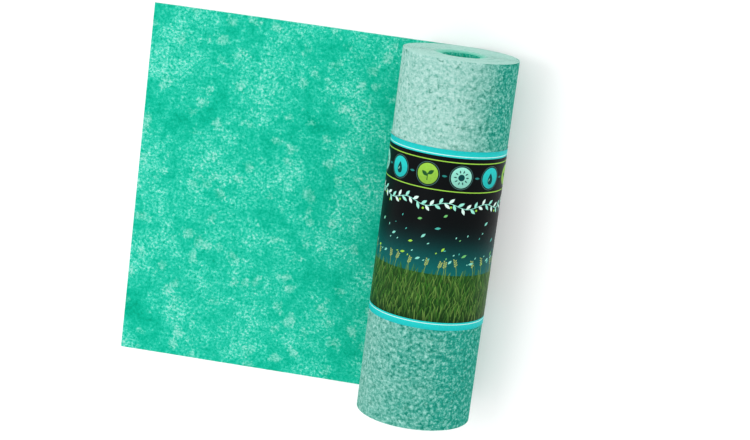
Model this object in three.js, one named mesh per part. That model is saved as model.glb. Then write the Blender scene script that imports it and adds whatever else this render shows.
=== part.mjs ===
// A roll of grass seed mat, lying on its side and partly unrolled.
//
// The mat is one long web of matted fibre. It is wound on itself around an open bore, with no
// tube inside, and its free stretch leaves the roll at the bottom and lies flat on the ground.
// The wound turns are one solid, and each turn shows as a ridge on the roll's two ends.
// A printed paper sleeve is wrapped around the middle of the roll. Its two ends are stuck down
// just short of the line where the mat leaves the roll.
//
// Millimetres. +Z is up and the ground is z = 0. The roll's axis runs along Y, the mat is laid
// out towards -X, and the origin is on the ground, at the centre of the footprint.
import * as THREE from 'three';

// The mat.
const MAT_WIDTH = 610; // across the web, which is also the roll's length
const MAT_THICKNESS = 1.6; // of one layer, and so the pitch of the winding
const TURNS = 40; // wound on the roll
const BORE_RADIUS = 30; // at the inner end of the winding, where the bore is narrowest
const LAID_LENGTH = 530; // from the line where the mat leaves the roll to its cut end
const EDGE_CREST = 0.8; // how far the middle of the web's edge stands out past its two faces

// The sleeve.
const SLEEVE_HEIGHT = 296; // along the roll
const SLEEVE_CENTRE_Y = 15; // from the middle of the roll
const SLEEVE_THICKNESS = 0.3;
const SLEEVE_CLEARANCE = 0.3; // between the sleeve and the mat's outer face
const SLEEVE_END_ANGLE = 15; // degrees, from the bottom of the roll to each of its ends

// Round stretches are drawn with one chord for each of these steps, in degrees. The coarse
// step is a whole number of fine steps, and both divide a full turn.
const FINE_STEP = 5; // on the outer turn and the sleeve
const COARSE_STEP = 15; // inside the roll and round the bore

const FULL_TURN = 360;
const ROLL_RADIUS = BORE_RADIUS + (TURNS + 1) * MAT_THICKNESS;
const AXIS_HEIGHT = ROLL_RADIUS;

// Points (x, z) on a spiral that lies this deep in from the mat's outer face. The angle is in
// degrees and follows the web from the ground: from straight below the axis towards +X, over
// the top and down on the laid mat's side, a layer further in with each turn.
function spiral(fromAngle, toAngle, step, depth) {
  const steps = Math.round((toAngle - fromAngle) / step);
  return Array.from({ length: steps + 1 }, (_, index) => {
    const angle = fromAngle + index * step;
    const radius = ROLL_RADIUS - (MAT_THICKNESS * angle) / FULL_TURN - depth;
    const turned = THREE.MathUtils.degToRad(angle);
    return [radius * Math.sin(turned), AXIS_HEIGHT - radius * Math.cos(turned)];
  });
}

// The skin of a solid, gathered as triangles whose corners run anticlockwise seen from outside.
class Skin {
  corners = [];

  // One face, as a fan of triangles from its first corner.
  face(...points) {
    for (let index = 1; index < points.length - 1; index += 1) {
      this.corners.push(...points[0], ...points[index], ...points[index + 1]);
    }
  }

  // The faces between two lines that run side by side. The first line may have several chords
  // for each one of the second.
  band(first, second) {
    const ratio = (first.length - 1) / (second.length - 1);
    for (let index = 1; index < second.length; index += 1) {
      const alongFirst = first.slice((index - 1) * ratio, index * ratio + 1);
      this.face(second[index - 1], ...alongFirst, second[index]);
    }
  }

  geometry() {
    const geometry = new THREE.BufferGeometry();
    geometry.setAttribute('position', new THREE.Float32BufferAttribute(this.corners, 3));
    geometry.computeVertexNormals();
    return geometry;
  }
}

// Lines of the web's section, placed on one side of the roll: -1 is its -Y side and +1 its +Y
// side. Along its edge the web's two faces stop short of the crest between them.
function onFace(line, side) {
  return line.map(([x, z]) => [x, side * (MAT_WIDTH / 2 - EDGE_CREST), z]);
}

function onCrest(line, side) {
  return line.map(([x, z]) => [x, (side * MAT_WIDTH) / 2, z]);
}

// The mat: the outer turn runs on into the laid stretch, and the bore keeps the step that the
// inner end of the web makes.
function seedMat() {
  const middle = MAT_THICKNESS / 2;
  const innerEnd = TURNS * FULL_TURN;
  const cutEnd = {
    ground: [-LAID_LENGTH, 0],
    crest: [-LAID_LENGTH, middle],
    top: [-LAID_LENGTH, MAT_THICKNESS],
  };

  const outerTurn = spiral(0, FULL_TURN, FINE_STEP, 0);
  const outerCrest = spiral(0, FULL_TURN, COARSE_STEP, middle);
  const woundFace = spiral(FULL_TURN, innerEnd, COARSE_STEP, 0);
  const woundCrest = spiral(FULL_TURN, innerEnd, COARSE_STEP, middle);
  const crest = [cutEnd.crest, ...outerCrest, ...woundCrest.slice(1)];
  const innerFace = [cutEnd.top, ...spiral(FULL_TURN, innerEnd + FULL_TURN, COARSE_STEP, 0)];
  const bore = spiral(innerEnd, innerEnd + FULL_TURN, COARSE_STEP, 0);

  const skin = new Skin();

  // The edge on each side: up to the crest from the outer face, then down to the inner face.
  const edgeStrips = [
    [[cutEnd.ground, outerTurn[0]], [cutEnd.crest, outerCrest[0]]],
    [outerTurn, outerCrest],
    [woundFace, woundCrest],
  ];
  for (const [face, ridge] of edgeStrips) {
    skin.band(onFace(face, -1), onCrest(ridge, -1));
    skin.band(onFace(face, 1).reverse(), onCrest(ridge, 1).reverse());
  }
  skin.band(onCrest(crest, -1), onFace(innerFace, -1));
  skin.band(onCrest(crest, 1).reverse(), onFace(innerFace, 1).reverse());

  // The faces that show: the ground face with the outer turn, the laid stretch's top, the bore.
  const outerFace = [cutEnd.ground, ...outerTurn];
  const laidTop = innerFace.slice(0, 2);
  skin.band(onFace(outerFace, 1), onFace(outerFace, -1));
  skin.band(onFace(laidTop, -1), onFace(laidTop, 1));
  skin.band(onFace(bore, -1), onFace(bore, 1));

  // The two ends of the web, each across its whole width: one on the ground, one in the bore.
  const acrossEnd = (outer, ridge, inner) => [
    ...onFace([outer], -1),
    ...onCrest([ridge], -1),
    ...onFace([inner], -1),
    ...onFace([inner], 1),
    ...onCrest([ridge], 1),
    ...onFace([outer], 1),
  ];
  skin.face(...acrossEnd(cutEnd.ground, cutEnd.crest, cutEnd.top));
  skin.face(...acrossEnd(bore[0], crest.at(-1), bore.at(-1)).reverse());

  const fibre = new THREE.MeshStandardMaterial({ color: 0x3fc2a0, roughness: 0.95, metalness: 0 });
  return new THREE.Mesh(skin.geometry(), fibre);
}

// The sleeve follows the outer turn, from one side of the bottom round to the other.
function printedSleeve() {
  const firstAngle = SLEEVE_END_ANGLE;
  const lastAngle = FULL_TURN - SLEEVE_END_ANGLE;
  const outerFace = spiral(firstAngle, lastAngle, FINE_STEP, -SLEEVE_CLEARANCE - SLEEVE_THICKNESS);
  const innerFace = spiral(firstAngle, lastAngle, FINE_STEP, -SLEEVE_CLEARANCE);
  const outline = [...outerFace, ...innerFace.reverse()].map(([x, z]) => new THREE.Vector2(x, z));

  const geometry = new THREE.ExtrudeGeometry(new THREE.Shape(outline), {
    depth: SLEEVE_HEIGHT,
    bevelEnabled: false,
  });
  geometry.translate(0, 0, -SLEEVE_HEIGHT / 2);
  const paper = new THREE.MeshStandardMaterial({ color: 0x16201b, roughness: 0.45, metalness: 0 });
  const sleeve = new THREE.Mesh(geometry, paper);
  sleeve.rotation.x = Math.PI / 2;
  sleeve.position.y = SLEEVE_CENTRE_Y;
  return sleeve;
}

const mat = seedMat();
mat.name = 'seed_mat';

const sleeve = printedSleeve();
sleeve.name = 'printed_sleeve';

// The footprint reaches from the cut end of the mat to the far side of the roll.
const roll = new THREE.Group();
roll.add(mat, sleeve);
const farSide = new THREE.Box3().setFromObject(roll).max.x;
roll.position.x = (LAID_LENGTH - farSide) / 2;

export default roll;
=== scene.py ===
"""A roll of grass seed mat, partly unrolled, with a printed paper sleeve round its middle.

Metres, with +Z up. The roll's axis runs along Y and the mat is laid out towards -X.
"""

import math
import random

import bpy
import numpy as np
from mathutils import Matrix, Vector, noise
from mathutils.geometry import delaunay_2d_cdt


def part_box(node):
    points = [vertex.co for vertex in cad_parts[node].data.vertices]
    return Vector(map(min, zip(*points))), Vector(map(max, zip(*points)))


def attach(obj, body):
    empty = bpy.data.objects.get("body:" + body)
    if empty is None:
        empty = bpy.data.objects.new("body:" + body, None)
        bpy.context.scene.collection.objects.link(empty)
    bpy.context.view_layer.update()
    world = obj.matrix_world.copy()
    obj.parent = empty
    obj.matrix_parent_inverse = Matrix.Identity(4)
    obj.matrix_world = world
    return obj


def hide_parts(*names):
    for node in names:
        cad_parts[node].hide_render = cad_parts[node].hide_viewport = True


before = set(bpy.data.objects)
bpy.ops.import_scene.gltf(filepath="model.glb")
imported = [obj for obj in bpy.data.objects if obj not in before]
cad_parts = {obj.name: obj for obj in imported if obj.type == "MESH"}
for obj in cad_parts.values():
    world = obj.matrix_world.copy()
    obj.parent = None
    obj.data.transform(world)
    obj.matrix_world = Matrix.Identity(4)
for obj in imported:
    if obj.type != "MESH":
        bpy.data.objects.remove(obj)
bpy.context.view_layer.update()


# The mat is one web of matted pulp fibre, 16 m long, formed wet and dried flat. It is wound on
# itself with no tube inside, and its free stretch leaves the roll at the bottom and lies on the
# ground. Its laid face is dyed a vivid green, and the dye comes through to its back unevenly. The
# back's colour also carries painted shade: greener and darker on the roll's side away from the lamp.
TURNS = 40
LAYER_PITCH = 0.0016
LAYER_THICKNESS = 0.00146  # a thin line of air is left between two turns
FINE_STEP = math.radians(2)  # along the turn that shows
WOUND_STEP = math.radians(6)  # along the turns inside
HIDDEN_LAP = math.radians(6)  # how far the outer turn's fine mesh runs on under the roll
NIP_LAP = math.radians(12)  # how far the laid face's fine mesh runs on under the roll
CELL = 0.0036  # of the fine mesh along the laid stretch
ROWS = 152  # of cells across the web, where its mesh is fine
EDGE_INSET = 0.00045  # from the web's cut edge to where its face starts
EDGE_WANDER = 0.0006  # of the cut edge, from turn to turn
EDGE_TEAR = 0.00016  # and over a few millimetres
EDGE_FUZZ = 0.00012  # of each line of points along it
WANDER_WAVES, TEAR_WAVES, FUZZ_WAVES = 2.3, 130.0, 260.0  # of each of these, in a metre
EDGE_LINES = (0.26, 0.74)  # where the lines along the edge are, as shares of its thickness
SUNK_TURNS = 10  # round the bore, each a little deeper in the roll than the turn outside it
SUNK_DEPTH = 0.0034  # of the innermost one
LOOSE_ANGLE = math.radians(70)  # of the web's inner end that has come off the turn under it
LOOSE_LIFT = 0.0035  # at that end
LAID_LUMPS = 0.0009  # from the thickest fibre of the laid stretch to its thinnest
LAID_SWELL = 0.0007  # how much thicker than the plain layer its thickest fibre is
LAID_EASE = 0.05  # how far from the roll the laid stretch gets its full lumps
WOUND_LUMPS = 0.00028  # the same, pressed flat on the outer turn
WOUND_EASE = 0.3  # and how far round the roll it gets them, in radians
WIDE_WAVES, SMALL_WAVES = 24.0, 85.0  # of the lumps, in a metre
ANGLE_SLACK = 1e-6  # for comparing angles that are added up from steps

web_low, web_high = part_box("seed_mat")
half_width = web_high.y
roll_radius = (web_high.z + LAYER_PITCH / 2) / 2
roll_axis_x = web_high.x - roll_radius + LAYER_PITCH / 4
laid_length = roll_axis_x - web_low.x


def wound_radius(angle):
    """How far the web's outer face is from the axis. The angle starts straight down."""
    return roll_radius - LAYER_PITCH * angle / math.tau


def wound_length(angle):
    """How much web there is between the ground and this angle."""
    return roll_radius * angle - LAYER_PITCH * angle**2 / (2 * math.tau)


def web_point(station, depth, across):
    """A point of the web, this deep in from its outer face, which the laid stretch lies on."""
    angle, along = station
    if along <= 0:
        return (roll_axis_x + along, across, depth)
    radius = wound_radius(angle) - depth
    return (roll_axis_x + radius * math.sin(angle), across, roll_radius - radius * math.cos(angle))


# Stations follow the web from its cut end to its inner end: the angle wound so far, and the
# length of web from the line where the mat leaves the roll.
laid_steps = round(laid_length / CELL)
outer_steps = round((math.tau + HIDDEN_LAP) / FINE_STEP)
inner_end = TURNS * math.tau
whole_wound_length = wound_length(inner_end)
stations = [(0.0, along) for along in np.linspace(-laid_length, 0, laid_steps + 1)]
stations += [(FINE_STEP * step, wound_length(FINE_STEP * step)) for step in range(1, outer_steps + 1)]
wound_steps = round((inner_end - FINE_STEP * outer_steps) / WOUND_STEP)
for step in range(1, wound_steps + 1):
    angle = FINE_STEP * outer_steps + WOUND_STEP * step
    stations.append((angle, wound_length(angle)))

fine_rows = np.linspace(-half_width + EDGE_INSET, half_width - EDGE_INSET, ROWS + 1)
coarse_picks = [0, 1, ROWS - 1, ROWS]


def edge_shift(station, side):
    """How far the web's cut edge wanders: slowly from turn to turn, and finely where it tore."""
    angle, along = station
    slow = noise.noise(Vector((along * WANDER_WAVES, side * 7.0, 1.5)))
    fine = noise.noise(Vector((along * TEAR_WAVES, side * 3.0, 8.5)))
    sunk_share = max(0.0, 1 - (inner_end - angle) / (SUNK_TURNS * math.tau))
    return -EDGE_WANDER + EDGE_WANDER * slow + EDGE_TEAR * fine - SUNK_DEPTH * sunk_share


def lumps(along, across, seed):
    """The web's unevenness, 0 where it is thickest and 1 where it is thinnest."""
    wide = noise.noise(Vector((along * WIDE_WAVES, across * WIDE_WAVES, seed)))
    small = noise.noise(Vector((along * SMALL_WAVES, across * SMALL_WAVES, seed + 4.0)))
    return min(max(0.5 + 0.35 * wide + 0.35 * small, 0.0), 1.0)


def inner_end_slack(angle):
    """The web's inner end has come off the turn under it and stands a little into the bore."""
    share = max(0.0, 1 - (inner_end - angle) / LOOSE_ANGLE)
    return LOOSE_LIFT * share**2


points = []
lengthwise = []  # each point's distance along the web
crosswise = []  # and across it


def add_row(station, picks, depths):
    """One line of points across a face of the web, with the edge's wander at its two ends."""
    first = len(points)
    for pick in picks:
        across = fine_rows[pick]
        reach = abs(across) / half_width
        side = math.copysign(1, across)
        moved = across + side * edge_shift(station, side) * reach**20
        points.append(web_point(station, depths(station, across), moved))
        lengthwise.append(station[1])
        crosswise.append(across)
    return list(range(first, len(points)))


def outer_depth(station, across):
    angle, along = station
    if along <= 0 or angle > math.tau:
        return inner_end_slack(angle)
    return WOUND_LUMPS * lumps(along, across, 2.0) * min(1.0, angle / WOUND_EASE)


def inner_depth(station, across):
    angle, along = station
    if along >= 0:
        return LAYER_THICKNESS + inner_end_slack(angle)
    ease = min(1.0, -along / LAID_EASE)
    return LAYER_THICKNESS + ease * (LAID_SWELL - LAID_LUMPS * lumps(along, across, 6.0))


outer_rows = []
inner_rows = []
edges = {-1: [], 1: []}
for station in stations:
    angle, along = station
    outer_is_fine = 0 <= along and angle <= math.tau + HIDDEN_LAP + ANGLE_SLACK
    inner_is_fine = angle <= NIP_LAP + ANGLE_SLACK
    outer_picks = range(ROWS + 1) if outer_is_fine else coarse_picks
    inner_picks = range(ROWS + 1) if inner_is_fine else coarse_picks
    outer_rows.append(add_row(station, outer_picks, outer_depth))
    inner_rows.append(add_row(station, inner_picks, inner_depth))
    for side in (-1, 1):
        ring = []
        for share in EDGE_LINES:
            depth = inner_end_slack(angle) + LAYER_THICKNESS * share
            fuzz = EDGE_FUZZ * noise.noise(Vector((along * FUZZ_WAVES, share * 5.0, side * 2.0)))
            across = side * (half_width + edge_shift(station, side) + fuzz)
            ring.append(len(points))
            points.append(web_point(station, depth, across))
            lengthwise.append(along)
            crosswise.append(side * (half_width + LAYER_THICKNESS * share))
        edges[side].append(ring)

faces = {}


def add_face(part, *corners):
    faces.setdefault(part, []).append(corners)


def join_rows(part, here, there, flip):
    """Faces between two lines of points across the web. One may be finer than the other."""
    if len(here) == len(there):
        bands = [((here[i], here[i + 1]), (there[i], there[i + 1])) for i in range(len(here) - 1)]
    else:
        finer = max(here, there, key=len)
        stops = list(zip(coarse_picks, coarse_picks[1:]))
        bands = []
        for order, (start, stop) in enumerate(stops):
            run = tuple(finer[start : stop + 1])
            pair = tuple(min(here, there, key=len)[order : order + 2])
            bands.append((run, pair) if finer is here else (pair, run))
    for near, far in bands:
        corners = (*near, *reversed(far))
        add_face(part, *(reversed(corners) if flip else corners))


def face_part(index):
    """What the two faces of the web between this station and the next one are called."""
    angle, along = stations[index]
    if along < 0:
        return "ground_face", "laid_face"
    outer = "outer_turn" if angle < math.tau + HIDDEN_LAP - ANGLE_SLACK else "inside"
    inner = "laid_face" if angle < NIP_LAP - ANGLE_SLACK else "inside"
    if angle >= inner_end - math.tau - ANGLE_SLACK:
        inner = "bore"
    return outer, inner


for index in range(len(stations) - 1):
    outer_part, inner_part = face_part(index)
    join_rows(outer_part, outer_rows[index], outer_rows[index + 1], True)
    join_rows(inner_part, inner_rows[index], inner_rows[index + 1], False)
    for side, pick in ((-1, 0), (1, -1)):
        here = [outer_rows[index][pick], *edges[side][index], inner_rows[index][pick]]
        there = [outer_rows[index + 1][pick], *edges[side][index + 1], inner_rows[index + 1][pick]]
        part = "laid_edge" if stations[index][1] < 0 else "wound_edge"
        for step in range(len(here) - 1):
            corners = (here[step], here[step + 1], there[step + 1], there[step])
            add_face(part, *(corners if side > 0 else reversed(corners)))

for index in (0, len(stations) - 1):
    low_edge, high_edge = edges[-1][index], edges[1][index]
    ring = [*outer_rows[index], *high_edge, *reversed(inner_rows[index]), *reversed(low_edge)]
    add_face("cut_end", *(ring if index else reversed(ring)))

mat_mesh = bpy.data.meshes.new("seed_mat_web")
all_faces = [face for part in faces.values() for face in part]
mat_mesh.from_pydata(points, [], all_faces)
seed_mat = bpy.data.objects.new("seed_mat_web", mat_mesh)
bpy.context.scene.collection.objects.link(seed_mat)
mat_mesh.shade_smooth()
mat_mesh.set_sharp_from_angle(angle=math.radians(30))

# The pattern map follows the web in metres. The second map gives the faces that show the most
# room on one square, and folds the turns inside into a corner of it.
corner_points = np.empty(len(mat_mesh.loops), np.int32)
mat_mesh.loops.foreach_get("vertex_index", corner_points)
along_corner = np.array(lengthwise)[corner_points]
across_corner = np.array(crosswise)[corner_points]
web_map = mat_mesh.uv_layers.new(name="web")
web_map.data.foreach_set("uv", np.stack([along_corner, across_corner], 1).ravel())

MAP_SIDE = 1.19  # of the square, in metres of web
MAP_CORNERS = {
    "laid_face": (0.003, 0.003),
    "outer_turn": (0.565, 0.003),
    "ground_face": (0.003, 0.62),
    "bore": (0.275, 0.62),
    "wound_edge": (0.48, 0.625),
    "laid_edge": (0.003, 0.935),
    "cut_end": (0.003, 0.975),
    "inside": (0.9, 0.65),
}
WOUND_EDGE_STEP = 0.2  # between the roll's two ends on the map
THIN_ROW_STEP = 0.02  # and between the two long edges, and the two cut ends
THIN_ROW_STRETCH = 4  # these are wider there than they are
FOLDED_SIZE = (0.03 / 16, 0.05)  # of the turns inside there, along and across a metre of web

corner_places = np.array(points)[corner_points]
map_spots = np.zeros((len(corner_points), 2))
bore_start = wound_length(inner_end - math.tau)
start = 0
face_part_names = []
for part, members in faces.items():
    count = sum(len(face) for face in members)
    span = slice(start, start + count)
    start += count
    face_part_names += [part] * len(members)
    along, across = along_corner[span], across_corner[span] + half_width
    from_cut_end = along + laid_length
    x, y, z = corner_places[span].T
    if part == "laid_face":
        flat = (from_cut_end, across)
    elif part == "outer_turn":
        flat = (along, across)
    elif part == "ground_face":
        flat = (from_cut_end / 2, across / 2)
    elif part == "bore":
        flat = ((along - bore_start) / 2, across / 2)
    elif part == "wound_edge":
        flat = (x - roll_axis_x + np.where(y > 0, 0.0, WOUND_EDGE_STEP), z)
    elif part == "laid_edge":
        flat = (from_cut_end, z * THIN_ROW_STRETCH + np.where(y > 0, 0.0, THIN_ROW_STEP))
    elif part == "cut_end":
        row = np.where(z > roll_radius / 2, 0.0, THIN_ROW_STEP)
        flat = (across, (z % roll_radius) * THIN_ROW_STRETCH + row)
    else:
        flat = (along * FOLDED_SIZE[0], across * FOLDED_SIZE[1])
    map_spots[span] = (np.stack(flat, 1) + MAP_CORNERS[part]) / MAP_SIDE
bake_map = mat_mesh.uv_layers.new(name="OFBake")
bake_map.data.foreach_set("uv", map_spots.ravel())


class Finish:
    """One material, with the few kinds of node that the mat and its sleeve are made with."""

    def __init__(self, name, roughness, gloss, map_name):
        self.material = bpy.data.materials.new(name)
        self.material.use_nodes = True
        self.nodes = self.material.node_tree.nodes
        self.links = self.material.node_tree.links
        self.shader = self.nodes["Principled BSDF"]
        self.shader.inputs["Roughness"].default_value = roughness
        self.shader.inputs["Specular IOR Level"].default_value = gloss
        self.place = self.nodes.new("ShaderNodeUVMap")
        self.place.uv_map = map_name
        self.along_and_across = self.nodes.new("ShaderNodeSeparateXYZ")
        self.links.new(self.place.outputs[0], self.along_and_across.inputs[0])

    def put(self, socket, value):
        """Links a node's output to a socket, or sets a plain number or colour on it."""
        if isinstance(value, bpy.types.NodeSocket):
            self.links.new(value, socket)
        else:
            socket.default_value = value

    def math(self, operation, first, second=0.0, clamp=False):
        node = self.nodes.new("ShaderNodeMath")
        node.operation = operation
        node.use_clamp = clamp
        self.put(node.inputs[0], first)
        self.put(node.inputs[1], second)
        return node.outputs[0]

    def spread(self, value, low, high, to_low=0.0, to_high=1.0):
        """Takes low..high to to_low..to_high, smoothly and no further."""
        node = self.nodes.new("ShaderNodeMapRange")
        node.interpolation_type = "SMOOTHSTEP"
        self.put(node.inputs[0], value)
        for order, number in enumerate((low, high, to_low, to_high), 1):
            node.inputs[order].default_value = number
        return node.outputs[0]

    def scaled_place(self, size, seed):
        """The place on the web, in steps of this size in metres, from a start of its own."""
        moved = self.nodes.new("ShaderNodeVectorMath")
        moved.operation = "MULTIPLY_ADD"
        self.put(moved.inputs[0], self.place.outputs[0])
        moved.inputs[1].default_value = (1 / size, 1 / size, 1)
        moved.inputs[2].default_value = (seed * 7.3, seed * 3.1, seed)
        return moved.outputs[0]

    def cloud(self, size, seed, detail=2.0, roughness=0.55, distortion=0.0):
        """Cloudy noise round 0, whose lumps are about this size in metres."""
        node = self.nodes.new("ShaderNodeTexNoise")
        self.put(node.inputs["Vector"], self.scaled_place(size, seed))
        node.inputs["Scale"].default_value = 1.0
        node.inputs["Detail"].default_value = detail
        node.inputs["Roughness"].default_value = roughness
        node.inputs["Distortion"].default_value = distortion
        return self.math("SUBTRACT", node.outputs["Fac"], 0.5)

    def from_spots(self, spacing, seed):
        """How far the nearest one of many scattered spots is, as a share of their spacing."""
        node = self.nodes.new("ShaderNodeTexVoronoi")
        self.put(node.inputs["Vector"], self.scaled_place(spacing, seed))
        node.inputs["Scale"].default_value = 1.0
        return node.outputs["Distance"]

    def strands(self, size, width, seed):
        """Curly fibres, 1 on each fibre's middle: the lines where a cloud changes sign."""
        cloud = self.cloud(size, seed, detail=1.0, distortion=0.9)
        return self.spread(self.math("ABSOLUTE", cloud), 0.0, width, 1.0, 0.0)

    def total(self, *parts):
        """The sum of fields, each given as (field, weight)."""
        whole = 0.0
        for field, weight in parts:
            node = self.nodes.new("ShaderNodeMath")
            node.operation = "MULTIPLY_ADD"
            self.put(node.inputs[0], field)
            self.put(node.inputs[1], weight)
            self.put(node.inputs[2], whole)
            whole = node.outputs[0]
        return whole

    def shades(self, value, *stops):
        """A colour for each value, from (value, colour) stops."""
        node = self.nodes.new("ShaderNodeValToRGB")
        ramp = node.color_ramp
        while len(ramp.elements) < len(stops):
            ramp.elements.new(1.0)
        for element, (position, colour) in zip(ramp.elements, stops):
            element.position = position
            element.color = seen(colour)
        self.put(node.inputs[0], value)
        return node.outputs[0]

    def blend(self, share, first, second):
        """The second colour over the first, by this share."""
        node = self.nodes.new("ShaderNodeMix")
        node.data_type = "RGBA"
        self.put(node.inputs["Factor"], share)
        self.put(node.inputs[6], first)
        self.put(node.inputs[7], second)
        return node.outputs[2]

    def relief(self, height, depth):
        """Bumps of this depth in metres, from a field of heights."""
        node = self.nodes.new("ShaderNodeBump")
        node.inputs["Distance"].default_value = depth
        node.inputs["Strength"].default_value = 1.0
        self.put(node.inputs["Height"], height)
        self.put(self.shader.inputs["Normal"], node.outputs[0])


LIGHT_LEVEL = 1.12  # how much brighter than white the studio's light makes a white sheet


def seen(colour):
    """The surface colour that shows on a screen as this one, 0 to 255, under the studio's light."""
    shares = np.asarray(colour, float) / 255
    light = np.where(shares <= 0.04045, shares / 12.92, ((shares + 0.055) / 1.055) ** 2.4)
    opaque = np.ones((*light.shape[:-1], 1))
    return np.concatenate([light / LIGHT_LEVEL, opaque], -1)


FIBRE_GLOSS = 0.05

# The laid face and the bore are vivid green, with cloudy paler patches, tufts of loose pale
# fibre and fine flecks.
laid_finish = Finish("dyed_fibre", 0.92, FIBRE_GLOSS, "web")
patches = laid_finish.cloud(0.085, 41, detail=1.0)
clouds = laid_finish.cloud(0.018, 2, detail=3.0, roughness=0.6)
flecks = laid_finish.cloud(0.0047, 3, detail=3.0, roughness=0.74)
from_tuft = laid_finish.from_spots(0.034, 5)
tuft_edge = laid_finish.total((clouds, -1.1), (flecks, -0.5), (from_tuft, 1.0))
tufts = laid_finish.spread(tuft_edge, 0.0, 0.36, 1.0, 0.0)
curls = laid_finish.strands(0.007, 0.04, 4)
loose = laid_finish.total((patches, 1.9), (clouds, 1.7), (tufts, 0.3), (1.0, 0.52))
rough_share = laid_finish.spread(loose, 0.1, 0.9, 0.45, 1.25)
grain = laid_finish.math("MULTIPLY", laid_finish.total((flecks, 2.2), (curls, 0.13)), rough_share)
paleness = laid_finish.total((patches, 0.8), (clouds, 0.8), (tufts, 0.14), (grain, 1.0), (1.0, 0.41))
laid_colour = laid_finish.shades(
    paleness,
    (0.0, (0, 158, 124)),
    (0.25, (8, 182, 148)),
    (0.5, (44, 200, 170)),
    (0.75, (96, 218, 192)),
    (1.0, (158, 234, 218)),
)
tuft_grain = laid_finish.total((flecks, 1.0), (1.0, 0.3))
tuft_share = laid_finish.math("MULTIPLY", tufts, tuft_grain, clamp=True)
laid_colour = laid_finish.blend(tuft_share, laid_colour, seen((150, 214, 198)))
laid_finish.put(laid_finish.shader.inputs["Base Color"], laid_colour)
laid_height = laid_finish.total((flecks, 1.0), (curls, 0.2), (clouds, 0.6))
laid_finish.relief(laid_height, 0.0008)

# The back is pale. The dye shows through it in stains and specks. It is also made greener and
# darker where the outer turn comes up from the ground on the roll's right side and towards the
# roll's -Y end, away from the lamp: partly dye, partly painted shade, so the upper left looks lit.
back_finish = Finish("pale_back_fibre", 0.94, FIBRE_GLOSS, "web")
along_web, across_web = back_finish.along_and_across.outputs[:2]
stains = back_finish.cloud(0.07, 11, detail=2.0)
clouds = back_finish.cloud(0.013, 12, detail=2.0)
flecks = back_finish.cloud(0.0056, 13, detail=3.0, roughness=0.72)
specks = back_finish.spread(back_finish.cloud(0.010, 14, detail=2.0, roughness=0.6), 0.10, 0.18)
curls = back_finish.strands(0.009, 0.035, 15)
# Painted shade with the dye: these masks green and darken the back on the roll's right side and
# towards its -Y end, the sides away from the lamp.
minus_y_dye_and_shade = back_finish.spread(across_web, -0.15, 0.05, 1.0, 0.0)
right_side_dye_and_shade = back_finish.spread(along_web, 0.195, 0.305, 0.9, 0.0)
end_dye_and_shade = back_finish.spread(along_web, 0.29, 0.41, 0.76, 0.44)
end_dye_and_shade = back_finish.math("MULTIPLY", minus_y_dye_and_shade, end_dye_and_shade)
left_side_undyed_unshaded = back_finish.math("SUBTRACT", 1.0, right_side_dye_and_shade)
undyed_and_unshaded = back_finish.math("MULTIPLY", back_finish.math("SUBTRACT", 1.0, end_dye_and_shade), left_side_undyed_unshaded)
dye_and_shade = back_finish.total((stains, 0.4), (undyed_and_unshaded, -1.0), (clouds, -0.5), (1.0, 1.05))
fleck_dye_and_shade = back_finish.total((dye_and_shade, -1.3), (1.0, -0.15))
dye_and_shade = back_finish.total((flecks, fleck_dye_and_shade), (dye_and_shade, 1.0))
grain = back_finish.total((flecks, 1.7), (clouds, 0.4), (curls, 0.12), (1.0, 0.47))
pale = back_finish.shades(
    grain,
    (0.0, (64, 158, 140)),
    (0.5, (161, 206, 196)),
    (1.0, (198, 232, 224)),
)
strong = back_finish.shades(
    grain,
    (0.0, (0, 90, 72)),
    (0.5, (36, 158, 138)),
    (1.0, (150, 226, 212)),
)
# Mixing in the strong dye here gives the real dye and also the painted shade on the side away from the
# lamp.
back_colour = back_finish.blend(dye_and_shade, pale, strong)
speck_share = back_finish.math("MULTIPLY", specks, 0.6)
back_colour = back_finish.blend(speck_share, back_colour, seen((20, 126, 104)))
back_finish.put(back_finish.shader.inputs["Base Color"], back_colour)
back_height = back_finish.total((flecks, 1.0), (curls, 0.25), (clouds, 0.6), (specks, -0.2))
back_finish.relief(back_height, 0.0008)

# The cut edges are paler than either face, and greener round the bore.
edge_finish = Finish("cut_edge_fibre", 0.95, FIBRE_GLOSS, "web")
flecks = edge_finish.cloud(0.004, 21, detail=3.0, roughness=0.7)
edge_colour = edge_finish.shades(
    edge_finish.total((flecks, 1.4), (1.0, 0.5)),
    (0.0, (128, 196, 181)),
    (0.5, (176, 220, 209)),
    (1.0, (214, 240, 233)),
)
along_web = edge_finish.along_and_across.outputs[0]
sunk_start = wound_length(inner_end - SUNK_TURNS * math.tau)
towards_bore = edge_finish.spread(along_web, sunk_start, whole_wound_length, 0.0, 0.8)
edge_colour = edge_finish.blend(towards_bore, edge_colour, seen((104, 216, 186)))
edge_finish.put(edge_finish.shader.inputs["Base Color"], edge_colour)
edge_finish.relief(flecks, 0.0004)

# What the turns inside show between them is only a thin dark line.
inside_finish = Finish("fibre_inside", 0.95, FIBRE_GLOSS, "web")
inside_finish.put(inside_finish.shader.inputs["Base Color"], seen((70, 180, 158)))

mat_finishes = {
    "laid_face": laid_finish,
    "bore": laid_finish,
    "outer_turn": back_finish,
    "ground_face": back_finish,
    "wound_edge": edge_finish,
    "laid_edge": edge_finish,
    "cut_end": edge_finish,
    "inside": inside_finish,
}
slots = []
for finish in mat_finishes.values():
    if finish not in slots:
        slots.append(finish)
        mat_mesh.materials.append(finish.material)
slot_numbers = [slots.index(mat_finishes[part]) for part in face_part_names]
mat_mesh.polygons.foreach_set("material_index", slot_numbers)

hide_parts("seed_mat")
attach(seed_mat, "root")


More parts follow.
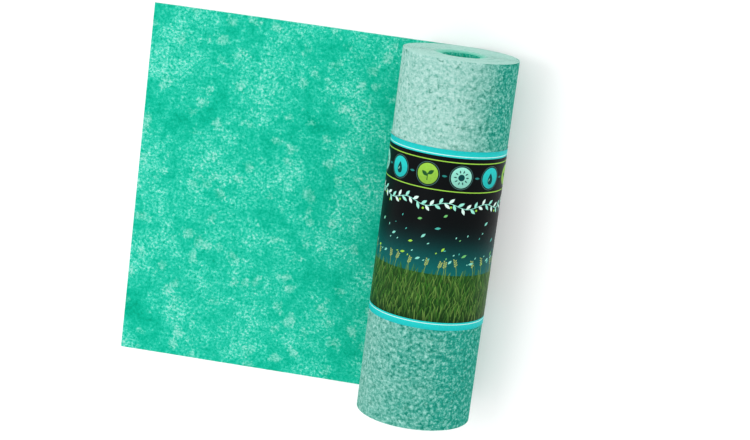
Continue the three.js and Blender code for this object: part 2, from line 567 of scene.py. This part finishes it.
# The sleeve is one strip of coated paper, wrapped tight round the middle of the roll and stuck
# down at its two ends by the ground. Its outer side is printed from edge to edge: turf with a
# glow behind it, a garland of leaves and a row of round badges between turquoise bands.
SLEEVE_FIRST_ANGLE = math.radians(15)
SLEEVE_LAST_ANGLE = math.radians(345)
SLEEVE_CLEARANCE = 0.0003
PAPER_THICKNESS = 0.0003
PAPER_CELL = 5.0  # of the paper's mesh, in millimetres, as in the drawing

sleeve_low, sleeve_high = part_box("printed_sleeve")
print_height = 1000 * (sleeve_high.y - sleeve_low.y)
print_length = 1000 * wound_radius(math.pi) * (SLEEVE_LAST_ANGLE - SLEEVE_FIRST_ANGLE)

# The drawing lies flat, in millimetres: x runs round the roll and y up it. Shapes are listed
# from the back to the front, each with its ink along its bottom and along its top.
drawing = []


def draw(outline, low_ink, high_ink=None):
    held = [(min(max(x, 0.0), print_length), min(max(y, 0.0), print_height)) for x, y in outline]
    drawing.append((held, low_ink, high_ink or low_ink))


def bar(low, high):
    """A band right round the sleeve, with enough points to follow its curve."""
    along = np.linspace(0, print_length, round(print_length / PAPER_CELL) + 1)
    return [*((x, low) for x in along), *((x, high) for x in reversed(along))]


def disc(x, y, radius, sides=32):
    turns = [math.tau * side / sides for side in range(sides)]
    return [(x + radius * math.cos(turn), y + radius * math.sin(turn)) for turn in turns]


def bent(x, lean, share):
    """Where the middle of a blade that leans this much is, at this share of its height."""
    return x + lean * share**1.7


def blade(x, y, height, lean, width):
    """A blade of grass, bent over by this much at its tip."""
    left = []
    right = []
    for share in (0.0, 0.4, 0.75):
        middle = bent(x, lean, share)
        half = width / 2 * (1 - share**2)
        left.append((middle - half, y + height * share))
        right.append((middle + half, y + height * share))
    return [*right, (x + lean, y + height), *reversed(left)]


def leaf(x, y, length, width, direction):
    """A leaf with bowed sides, its stalk at this place, pointing this way in degrees."""
    shares = [step / 6 for step in range(7)]
    lower = [(length * share, -width / 2 * math.sin(math.pi * share)) for share in shares]
    upper = [(length * share, width / 2 * math.sin(math.pi * share)) for share in shares[-2:0:-1]]
    cos, sin = math.cos(math.radians(direction)), math.sin(math.radians(direction))
    return [(x + a * cos - b * sin, y + a * sin + b * cos) for a, b in lower + upper]


FIELD = (6, 10, 12)  # shows wherever nothing is drawn
TURQUOISE = (38, 204, 200)
DEEP_TURQUOISE = (26, 186, 184)
MINT = (150, 228, 208)
LIME = (150, 205, 70)
DEEP_TEAL = (7, 66, 66)

# The glow is a stack of bars, brightest behind the turf and fading out towards the garland.
GLOW = (8, 96, 94)
GLOW_LOW, GLOW_HIGH = 90, 182
GLOW_STRIPS = 10

for strip in range(GLOW_STRIPS):
    ends = [strip / GLOW_STRIPS, (strip + 1) / GLOW_STRIPS]
    heights = [GLOW_LOW + (GLOW_HIGH - GLOW_LOW) * end for end in ends]
    inks = []
    for end in ends:
        fade = (1 - end) ** 2 * (1 + 2 * end)
        inks.append(tuple(dark + (bright - dark) * fade for dark, bright in zip(FIELD, GLOW)))
    draw(bar(*heights), *inks)

# The turf is rows of blades on a dark ground, the farthest row first and highest.
TURF_LOW, TURF_HIGH = 12, 80  # the feet of the nearest row and of the farthest
GROUND_TOP = TURF_HIGH + 12
TURF_ROWS = 15
ROW_WANDER = 3
BLADES_A_ROW = 120
BLADE_HEIGHTS = (13, 24)
BLADE_WIDTHS = (1.6, 3.0)
BLADE_LEAN = 9
TALL_ROWS = 3  # the farthest ones, where this share of the blades is taller by this much
TALL_SHARE = 0.12
TALL_EXTRA = (6, 16)
GREENS = [(72, 120, 48), (92, 142, 58), (50, 102, 36), (118, 160, 72), (64, 128, 40), (38, 84, 30)]
ROOT_SHADE = 0.55

draw(bar(TURF_LOW, GROUND_TOP), (20, 52, 18), (30, 74, 26))
picker = random.Random(5)
for row in range(TURF_ROWS):
    foot = TURF_HIGH + (TURF_LOW - TURF_HIGH) * row / (TURF_ROWS - 1)
    for number in range(BLADES_A_ROW):
        x = (number + picker.random()) * print_length / BLADES_A_ROW
        height = picker.uniform(*BLADE_HEIGHTS)
        is_tall = picker.random() < TALL_SHARE and row < TALL_ROWS
        height += is_tall * picker.uniform(*TALL_EXTRA)
        green = picker.choice(GREENS)
        root = tuple(value * ROOT_SHADE for value in green)
        y = foot + picker.uniform(-ROW_WANDER, ROW_WANDER)
        lean = picker.uniform(-BLADE_LEAN, BLADE_LEAN)
        draw(blade(x, y, height, lean, picker.uniform(*BLADE_WIDTHS)), root, green)

# Ears of seed stand above the turf here and there, with their grains on either side by turns.
EARS = 24
EAR_FEET = (2, 8)  # above the farthest row's
EAR_HEIGHTS = (26, 38)
EAR_LEAN = 7
STALK_WIDTH = 1.2
GRAINS = 7
LOWEST_GRAIN, GRAIN_STEP = 0.62, 0.055  # as shares of the ear's height
GRAIN_LENGTH, GRAIN_WIDTH = 4.6, 1.9
GRAIN_SPREAD = 38  # degrees, from the stalk

for number in range(EARS):
    x = (number + picker.random()) * print_length / EARS
    y = TURF_HIGH + picker.uniform(*EAR_FEET)
    lean = picker.uniform(-EAR_LEAN, EAR_LEAN)
    height = picker.uniform(*EAR_HEIGHTS)
    draw(blade(x, y, height, lean, STALK_WIDTH), (80, 120, 60), (150, 180, 96))
    for step in range(GRAINS):
        share = LOWEST_GRAIN + GRAIN_STEP * step
        side = 1 if step % 2 else -1
        direction = 90 - side * GRAIN_SPREAD - lean * 2
        grain = leaf(bent(x, lean, share), y + height * share, GRAIN_LENGTH, GRAIN_WIDTH, direction)
        draw(grain, (128, 150, 72), (186, 200, 120))

# Seeds, specks and small leaves drift over the glow, fewer of them higher up.
DRIFTING = 116
DRIFT_LOW, DRIFT_HIGH = 108, 194
DRIFT_INKS = [LIME, (72, 176, 162), (110, 190, 110), (132, 214, 196)]
SEED_SHARE, LEAF_SHARE = 0.4, 0.45  # of them, and the rest are specks
SEED_LENGTHS, SEED_WIDTH = (3.6, 5.0), 1.9
LEAF_LENGTHS, LEAF_WIDTH = (7.5, 10.5), 3.8
SPECK_RADII = (0.8, 1.3)

for number in range(DRIFTING):
    x = (number + picker.random()) * print_length / DRIFTING
    y = DRIFT_LOW + (DRIFT_HIGH - DRIFT_LOW) * picker.random() ** 1.5
    ink = picker.choice(DRIFT_INKS)
    kind = picker.random()
    if kind < SEED_SHARE:
        draw(leaf(x, y, picker.uniform(*SEED_LENGTHS), SEED_WIDTH, picker.uniform(20, 80)), ink)
    elif kind < SEED_SHARE + LEAF_SHARE:
        draw(leaf(x, y, picker.uniform(*LEAF_LENGTHS), LEAF_WIDTH, picker.uniform(10, 70)), ink)
    else:
        draw(disc(x, y, picker.uniform(*SPECK_RADII), 12), ink)

# The garland is a waving stem with a leaf on either side by turns, and berries here and there.
GARLAND_HEIGHT = 206
GARLAND_WAVES = 8
GARLAND_SWING = 4.0
STEM_CHORDS = 160
STEM_WIDTH = 1.1
LEAF_STEP = 7.4
GARLAND_LEAF_LENGTHS, GARLAND_LEAF_WIDTH = (11, 13.5), 5.0
GARLAND_LEAF_SPREAD = 48  # degrees, from the stem
LEAVES_TO_A_BERRY = 6
BERRY_RADIUS = 1.9
BERRY_ALONG, BERRY_ASIDE = 4, 5.5  # from the leaf's foot


def garland_y(x):
    return GARLAND_HEIGHT + GARLAND_SWING * math.sin(math.tau * GARLAND_WAVES * x / print_length)


stem = [x * print_length / STEM_CHORDS for x in range(STEM_CHORDS + 1)]
for start, stop in zip(stem, stem[1:]):
    ends = [(start, garland_y(start)), (stop, garland_y(stop))]
    low_side = [(x, y - STEM_WIDTH / 2) for x, y in ends]
    high_side = [(x, y + STEM_WIDTH / 2) for x, y in reversed(ends)]
    draw(low_side + high_side, MINT)
for number in range(int(print_length / LEAF_STEP)):
    x = (number + 0.5) * LEAF_STEP
    slope = math.degrees(math.atan2(garland_y(x + 1) - garland_y(x), 1))
    side = 1 if number % 2 else -1
    ink = MINT if number % 4 < 2 else (214, 244, 234)
    length = picker.uniform(*GARLAND_LEAF_LENGTHS)
    direction = slope + side * GARLAND_LEAF_SPREAD
    draw(leaf(x, garland_y(x), length, GARLAND_LEAF_WIDTH, direction), ink)
    if number % LEAVES_TO_A_BERRY == 3:
        berry_x = x + BERRY_ALONG
        draw(disc(berry_x, garland_y(berry_x) - side * BERRY_ASIDE, BERRY_RADIUS, 14), LIME)

# The badges hold a drop, a sprout and a sun by turns, between two thin rules. Each picture is
# drawn from the middle of its badge.
BADGES = 10
BADGE_STEP = print_length / BADGES
FIRST_BADGE = 0.62  # of a step from the sleeve's end
BADGE_HEIGHT = 253
BADGE_RADIUS = 17
PLATE_SHADE = 0.86  # of its lower edge
RING_INNER, RING_OUTER = 1.7, 2.6  # past the plate
RULE_DISTANCE = 23.5
RULE_WIDTH = 1.6
LINK_LENGTH, LINK_WIDTH = 9, 3.6  # of the leaf between two badges


def draw_drop(x, y):
    """A drop of water, pointed at its top, with a glint."""
    outline = []
    for step in range(24):
        turn = math.tau * step / 24
        outline.append((x - 7 * math.sin(turn) * math.sin(turn / 2), y - 1 + 9.5 * math.cos(turn)))
    draw(outline, DEEP_TEAL)
    draw(leaf(x - 3.6, y - 5.5, 6.5, 1.6, 62), MINT)


def draw_sprout(x, y):
    """A stalk with two leaves."""
    stalk = [(x - 0.7, y - 11), (x + 0.7, y - 11), (x + 0.7, y + 1), (x - 0.7, y + 1)]
    for shape in (stalk, leaf(x, y - 1, 12.5, 6.4, 38), leaf(x, y - 4, 12.5, 6.4, 142)):
        draw(shape, (30, 84, 40))


def draw_sun(x, y):
    """A disc with ten rays round it."""
    draw(disc(x, y, 5.4, 24), DEEP_TEAL)
    for ray in range(10):
        turn = math.tau * ray / 10
        foot_x, foot_y = x + 7 * math.cos(turn), y + 7 * math.sin(turn)
        draw(leaf(foot_x, foot_y, 5.6, 2.2, math.degrees(turn)), DEEP_TEAL)


for height in (BADGE_HEIGHT - RULE_DISTANCE, BADGE_HEIGHT + RULE_DISTANCE):
    draw(bar(height - RULE_WIDTH / 2, height + RULE_WIDTH / 2), LIME)
badge_kinds = [(TURQUOISE, draw_drop), (LIME, draw_sprout), (MINT, draw_sun)]
for number in range(BADGES):
    x = (number + FIRST_BADGE) * BADGE_STEP
    plate, draw_picture = badge_kinds[number % len(badge_kinds)]
    draw(disc(x, BADGE_HEIGHT, BADGE_RADIUS + RING_OUTER, 40), (70, 110, 106))
    draw(disc(x, BADGE_HEIGHT, BADGE_RADIUS + RING_INNER, 40), FIELD)
    draw(disc(x, BADGE_HEIGHT, BADGE_RADIUS, 40), tuple(value * PLATE_SHADE for value in plate), plate)
    draw_picture(x, BADGE_HEIGHT)
    link_x = x + (BADGE_STEP - LINK_LENGTH) / 2
    draw(leaf(link_x, BADGE_HEIGHT, LINK_LENGTH, LINK_WIDTH, 0), (40, 130, 124))

# A turquoise band with a pale line in it runs along each edge.
LOW_BAND, HIGH_BAND = 13, 12
LOW_LINE, HIGH_LINE = 9.4, 8.6  # from the edge to the line's near side
LINE_WIDTH = 1.0
LINE_INK = (214, 246, 240)

draw(bar(0, LOW_BAND), DEEP_TURQUOISE, TURQUOISE)
draw(bar(LOW_LINE, LOW_LINE + LINE_WIDTH), LINE_INK)
draw(bar(print_height - HIGH_BAND, print_height), TURQUOISE, DEEP_TURQUOISE)
draw(bar(print_height - HIGH_LINE - LINE_WIDTH, print_height - HIGH_LINE), LINE_INK)

# The shapes' outlines cut one skin into triangles, over a grid that follows the roll's curve.
# Each triangle then wears the ink of the last shape that covers it.
spots = []
cuts = []
for outline, _, _ in drawing:
    ring = list(range(len(spots), len(spots) + len(outline)))
    cuts += zip(ring, ring[1:] + ring[:1])
    spots += outline


def grid(cell):
    columns = np.linspace(0, print_length, round(print_length / cell) + 1)
    rows = np.linspace(0, print_height, round(print_height / cell) + 1)
    return [(x, y) for x in columns for y in rows]


spots += grid(PAPER_CELL)
skin_spots, _, skin_faces, *_ = delaunay_2d_cdt([Vector(spot) for spot in spots], cuts, [], 0, 1e-5)
flat_skin = np.array(skin_spots)
skin_corners = np.array(skin_faces)
middles = flat_skin[skin_corners].mean(1)
by_x = np.argsort(middles[:, 0])


def covered(outline, places):
    """Which of these places lie inside the outline."""
    x, y = places.T
    inside = np.zeros(len(places), bool)
    for (x0, y0), (x1, y1) in zip(outline, outline[1:] + outline[:1]):
        if y0 != y1:
            inside ^= ((y0 > y) != (y1 > y)) & (x < x0 + (x1 - x0) * (y - y0) / (y1 - y0))
    return inside


skin_inks = np.tile(np.array(FIELD, float), (len(skin_corners), 3, 1))
for outline, low_ink, high_ink in drawing:
    edges_x, edges_y = np.array(outline).T
    first, last = np.searchsorted(middles[by_x, 0], (edges_x.min(), edges_x.max()))
    near = by_x[first:last]
    mine = near[covered(outline, middles[near])]
    rise = (flat_skin[skin_corners[mine], 1] - edges_y.min()) / max(np.ptp(edges_y), 1e-6)
    skin_inks[mine] = np.array(low_ink) + rise[..., None] * (np.array(high_ink) - np.array(low_ink))


BULGE = 0.00018  # of the paper off the roll, in metres
RIM_LIFT = 0.0011  # the most that its two rims lift on top of that
RIM_BAND = 14  # how far in from the rim it lifts, in millimetres


def sleeve_lift(x, y):
    """How far the paper stands off the roll here, in metres."""
    bulge = 0.5 + noise.noise(Vector((x / 70, y / 60, 3.5)))
    rim = max(0.0, 1 - min(y, print_height - y) / RIM_BAND)
    loose = max(0.0, noise.noise(Vector((x / 38, y / 200, 9.5))))
    return BULGE * bulge + RIM_LIFT * loose * rim**2


def sleeve_point(x, y, height):
    turn = SLEEVE_LAST_ANGLE - x / print_length * (SLEEVE_LAST_ANGLE - SLEEVE_FIRST_ANGLE)
    radius = wound_radius(turn) + SLEEVE_CLEARANCE + sleeve_lift(x, y) + height
    across = sleeve_low.y + y / 1000
    return (roll_axis_x + radius * math.sin(turn), across, roll_radius - radius * math.cos(turn))


# The skin's border is found as the triangle sides that have no neighbour. The paper's back is a
# plainer skin with the same border, and a narrow rim joins the two.
sides = {(face[i], face[i - 2]) for face in skin_faces for i in range(3)}
border = sorted((a, b) for a, b in sides if (b, a) not in sides)
border_spots = sorted({corner for side in border for corner in side})
back_number = {corner: len(skin_spots) + order for order, corner in enumerate(border_spots)}
inner_spots = [(x, y) for x, y in grid(PAPER_CELL) if 0 < x < print_length and 0 < y < print_height]
back_spots = [skin_spots[corner] for corner in border_spots] + [Vector(spot) for spot in inner_spots]
back_faces = delaunay_2d_cdt(back_spots, [], [], 0, 1e-7)[2]

paper_points = [sleeve_point(x, y, PAPER_THICKNESS) for x, y in skin_spots]
paper_points += [sleeve_point(x, y, 0.0) for x, y in back_spots]
paper_faces = [tuple(face) for face in skin_faces]
paper_faces += [tuple(len(skin_spots) + corner for corner in reversed(face)) for face in back_faces]
paper_faces += [(b, a, back_number[a], back_number[b]) for a, b in border]

paper_mesh = bpy.data.meshes.new("printed_paper_sleeve")
paper_mesh.from_pydata(paper_points, [], paper_faces)
sleeve = bpy.data.objects.new("printed_paper_sleeve", paper_mesh)
bpy.context.scene.collection.objects.link(sleeve)
paper_mesh.shade_smooth()
paper_mesh.set_sharp_from_angle(angle=math.radians(40))

# The print's map is in metres. The second map gives the printed side nearly the whole square,
# and the bare side and the rim a strip above it.
PRINTED_SIZE, PRINTED_CORNER = (0.996, 0.93), (0.002, 0.002)
BARE_SIZE, BARE_CORNER = (0.9, 0.05), (0.05, 0.94)

printed_corners = 3 * len(skin_faces)
flat_paper = np.concatenate([flat_skin, np.array(back_spots)])
corner_places = flat_paper[[corner for face in paper_faces for corner in face]]
print_map = paper_mesh.uv_layers.new(name="print")
print_map.data.foreach_set("uv", (corner_places / 1000).ravel())
sheet_places = corner_places / (print_length, print_height)
sheet_places[:printed_corners] = sheet_places[:printed_corners] * PRINTED_SIZE + PRINTED_CORNER
sheet_places[printed_corners:] = sheet_places[printed_corners:] * BARE_SIZE + BARE_CORNER
paper_bake_map = paper_mesh.uv_layers.new(name="OFBake")
paper_bake_map.data.foreach_set("uv", sheet_places.ravel())

corner_inks = np.ones((len(corner_places), 4))
corner_inks[:printed_corners] = seen(skin_inks.reshape(-1, 3))
ink_layer = paper_mesh.color_attributes.new("ink", "FLOAT_COLOR", "CORNER")
ink_layer.data.foreach_set("color", corner_inks.ravel())

print_finish = Finish("coated_print", 0.42, 0.05, "print")
ink = print_finish.nodes.new("ShaderNodeVertexColor")
ink.layer_name = "ink"
mottle = print_finish.cloud(0.004, 31, detail=3.0)
dots = print_finish.cloud(0.0009, 32, detail=1.0)
wear = print_finish.spread(print_finish.total((mottle, 1.2), (dots, 1.4)), -0.5, 0.5, 0.88, 1.12)
shaded = print_finish.nodes.new("ShaderNodeVectorMath")
shaded.operation = "SCALE"
print_finish.put(shaded.inputs[0], ink.outputs["Color"])
print_finish.put(shaded.inputs["Scale"], wear)
print_finish.put(print_finish.shader.inputs["Base Color"], shaded.outputs[0])
dullness = print_finish.spread(print_finish.cloud(0.03, 33, detail=3.0), -0.4, 0.4, 0.36, 0.48)
print_finish.put(print_finish.shader.inputs["Roughness"], dullness)
ripples = print_finish.cloud(0.012, 34)
print_finish.relief(print_finish.total((dots, 0.5), (ripples, 2.0)), 0.00012)

bare_finish = Finish("bare_paper", 0.8, 0.3, "print")
bare_finish.put(bare_finish.shader.inputs["Base Color"], seen((236, 238, 232)))
for finish in (print_finish, bare_finish):
    paper_mesh.materials.append(finish.material)
paper_slots = [0] * len(skin_faces) + [1] * (len(paper_faces) - len(skin_faces))
paper_mesh.polygons.foreach_set("material_index", paper_slots)

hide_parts("printed_sleeve")
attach(sleeve, "root")


# The floor is a plain pale board, and isn't part of the mat.
FLOOR_SIDE = 14.0
FLOOR_DROP = 0.0002  # under the mat, so that the two faces don't lie in one plane

floor_mesh = bpy.data.meshes.new("floor")
floor_half = FLOOR_SIDE / 2
floor_corners = [(-1, -1), (1, -1), (1, 1), (-1, 1)]
floor_points = [(x * floor_half, y * floor_half, -FLOOR_DROP) for x, y in floor_corners]
floor_mesh.from_pydata(floor_points, [], [(0, 1, 2, 3)])
floor = bpy.data.objects.new("floor", floor_mesh)
bpy.context.scene.collection.objects.link(floor)
floor_material = bpy.data.materials.new("pale_board")
floor_material.use_nodes = True
floor_shader = floor_material.node_tree.nodes["Principled BSDF"]
floor_shader.inputs["Base Color"].default_value = (0.96, 0.96, 0.96, 1)
floor_shader.inputs["Roughness"].default_value = 0.9
floor_shader.inputs["Specular IOR Level"].default_value = 0.1
floor_mesh.materials.append(floor_material)


# Soft studio light: an even white room, and one large lamp on the left.
ROOM_LIGHT = 1.12
LAMP_PLACE = Vector((-1.1, 0.4, 2.6))
LAMP_SIZE = 1.2
LAMP_POWER = 17.0

room = bpy.data.worlds.new("white_room")
room.use_nodes = True
room.node_tree.nodes["Background"].inputs["Color"].default_value = (1, 1, 1, 1)
room.node_tree.nodes["Background"].inputs["Strength"].default_value = ROOM_LIGHT
bpy.context.scene.world = room

lamp_data = bpy.data.lights.new("lamp", "AREA")
lamp_data.shape = "DISK"
lamp_data.size = LAMP_SIZE
lamp_data.energy = LAMP_POWER
lamp = bpy.data.objects.new("lamp", lamp_data)
lamp.location = LAMP_PLACE
roll_middle = Vector((roll_axis_x, 0, roll_radius))
lamp.rotation_euler = (roll_middle - LAMP_PLACE).to_track_quat("-Z", "Y").to_euler()
bpy.context.scene.collection.objects.link(lamp)

# The camera looks down on the roll from 3 m up, from beyond its far end and a little to its right.
CAMERA_PLACE = (roll_axis_x + 0.2003, 0.6933, 3.0623)
CAMERA_TURNS = (-12.05, 7.44, 7.22)  # degrees about X, Y and Z, from looking straight down
FILM_WIDTH = 36.0  # in millimetres, as the lens
LENS = 89.1

camera_data = bpy.data.cameras.new("camera")
camera_data.sensor_width = FILM_WIDTH
camera_data.lens = LENS
camera = bpy.data.objects.new("camera", camera_data)
camera.location = CAMERA_PLACE
camera.rotation_euler = [math.radians(turn) for turn in CAMERA_TURNS]
bpy.context.scene.collection.objects.link(camera)
bpy.context.scene.camera = camera

bpy.context.scene.view_settings.view_transform = "Standard"
